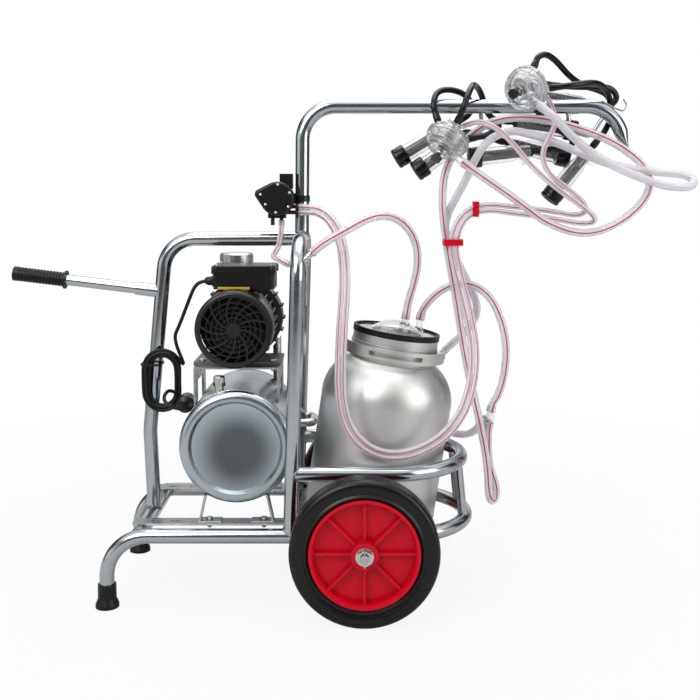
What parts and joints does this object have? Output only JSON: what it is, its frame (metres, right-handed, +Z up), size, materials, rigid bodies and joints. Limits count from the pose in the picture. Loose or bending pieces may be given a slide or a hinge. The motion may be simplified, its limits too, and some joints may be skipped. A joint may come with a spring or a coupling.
{
  "type": "milking machine",
  "caption": "Wheeled bucket milking machine: bent-tube trolley with vacuum pump on its tank, tilted steel can, pulsator, hose cane and two clusters of teat cups.",
  "frame": {"origin": "centre of the bounding box at the floor", "axes": "+X from the push handle to the can and wheels, +Z up"},
  "size_m": [1.533, 0.632, 1.2112],
  "materials": {
    "zinc_tube": "bright zinc plated",
    "galvanised": "satin galvanised",
    "zinc_fixings": "zinc plated",
    "black_rubber": "matt",
    "tyre_rubber": "matt",
    "red_plastic": "moulded",
    "cast_aluminium": "as cast",
    "pump_iron": "painted satin",
    "silencer_silver": "satin",
    "black_cover": "satin",
    "black_plastic": "moulded",
    "pulsator_plastic": "satin",
    "steel": "ground",
    "brass": "turned",
    "spool_plastic": "smooth",
    "stainless": "brushed stainless",
    "clear_plastic": "clear moulded plastic",
    "clear_hose": "clear soft vinyl",
    "cord_rubber": "satin"
  },
  "bodies": {
    "machine": {"axle_hardware": "zinc_fixings", "base_tube": "zinc_tube", "can_body": "stainless", "can_collar": "stainless", "can_lid": "clear_plastic", "cane_tube": "zinc_tube", "claw_bowls": "clear_plastic", "claw_covers": "clear_plastic", "column_hoop": "zinc_tube", "cord_coil": "cord_rubber", "cord_fittings": "black_plastic", "cross_tubes": "zinc_tube", "end_shields": "cast_aluminium", "fan_cover": "black_cover", "frame_bolts": "zinc_fixings", "front_hoop": "zinc_tube", "guard_rail": "zinc_tube", "handle_grip": "black_rubber", "handle_socket": "zinc_tube", "handle_tube": "zinc_tube", "hose_clips": "red_plastic", "lid_gasket": "black_rubber", "milk_hoses": "clear_hose", "motor_bearings": "steel", "motor_housing": "cast_aluminium", "motor_saddle": "galvanised", "power_cord": "cord_rubber", "power_plug": "black_plastic", "pulsator_body": "pulsator_plastic", "pulsator_cover": "black_plastic", "pulse_hoses": "clear_hose", "pump_end_cover": "pump_iron", "pump_housing": "pump_iron", "pump_silencer": "silencer_silver", "rubber_feet": "black_rubber", "short_tubes": "black_rubber", "stub_axles": "zinc_tube", "support_bars": "zinc_tube", "tank_legs": "galvanised", "teat_liners": "black_rubber", "teat_shells": "clear_plastic", "terminal_box": "black_plastic", "terminal_lid": "black_plastic", "vacuum_fittings": "zinc_fixings", "vacuum_hose": "clear_hose", "vacuum_regulator": "brass", "vacuum_tank": "galvanised", "y_connector": "clear_plastic"},
    "left_wheel": {"left_rim": "red_plastic", "left_tyre": "tyre_rubber"},
    "right_wheel": {"right_rim": "red_plastic", "right_tyre": "tyre_rubber"},
    "rotor": {"rotor_shaft": "steel", "cooling_fan": "black_plastic", "pump_rotor": "steel"},
    "can_bail": {"can_handle": "stainless"},
    "claw_button_1": {"valve_button_1": "black_plastic"},
    "claw_button_2": {"valve_button_2": "black_plastic"},
    "rocker": {"power_switch": "black_plastic"},
    "spool": {"pulsator_spool": "spool_plastic"}
  },
  "joints": [
    {"name": "left_wheel_spin", "type": "hinge", "parent": "machine", "child": "left_wheel", "pos_m": [0.101, -0.264, 0.157], "axis": [0, 1, 0], "continuous": true},
    {"name": "right_wheel_spin", "type": "hinge", "parent": "machine", "child": "right_wheel", "pos_m": [0.101, 0.264, 0.157], "axis": [0, 1, 0], "continuous": true},
    {"name": "pump_shaft_spin", "type": "hinge", "parent": "machine", "child": "rotor", "pos_m": [-0.183, 0, 0.601], "axis": [0, 1, 0], "continuous": true},
    {"name": "can_handle_lift", "type": "hinge", "parent": "machine", "child": "can_bail", "pos_m": [0.17213, 0, 0.53909], "axis": [-0.9889, 0, 0.1483], "range_deg": [0, 55]},
    {"name": "claw_button_1_slide", "type": "slide", "parent": "machine", "child": "claw_button_1", "axis": [0.5009, 0.3506, 0.7913], "range_m": [0, 0.006]},
    {"name": "claw_button_2_slide", "type": "slide", "parent": "machine", "child": "claw_button_2", "axis": [0.6414, 0.7216, 0.2606], "range_m": [0, 0.006]},
    {"name": "power_rocker_tilt", "type": "hinge", "parent": "machine", "child": "rocker", "pos_m": [-0.19, 0.0235, 0.706], "axis": [0, 0, 1], "range_deg": [-8, 8]},
    {"name": "pulsator_spool_slide", "type": "slide", "parent": "machine", "child": "spool", "axis": [1, 0, 0], "range_m": [-0.005, 0.005]}
  ]
}
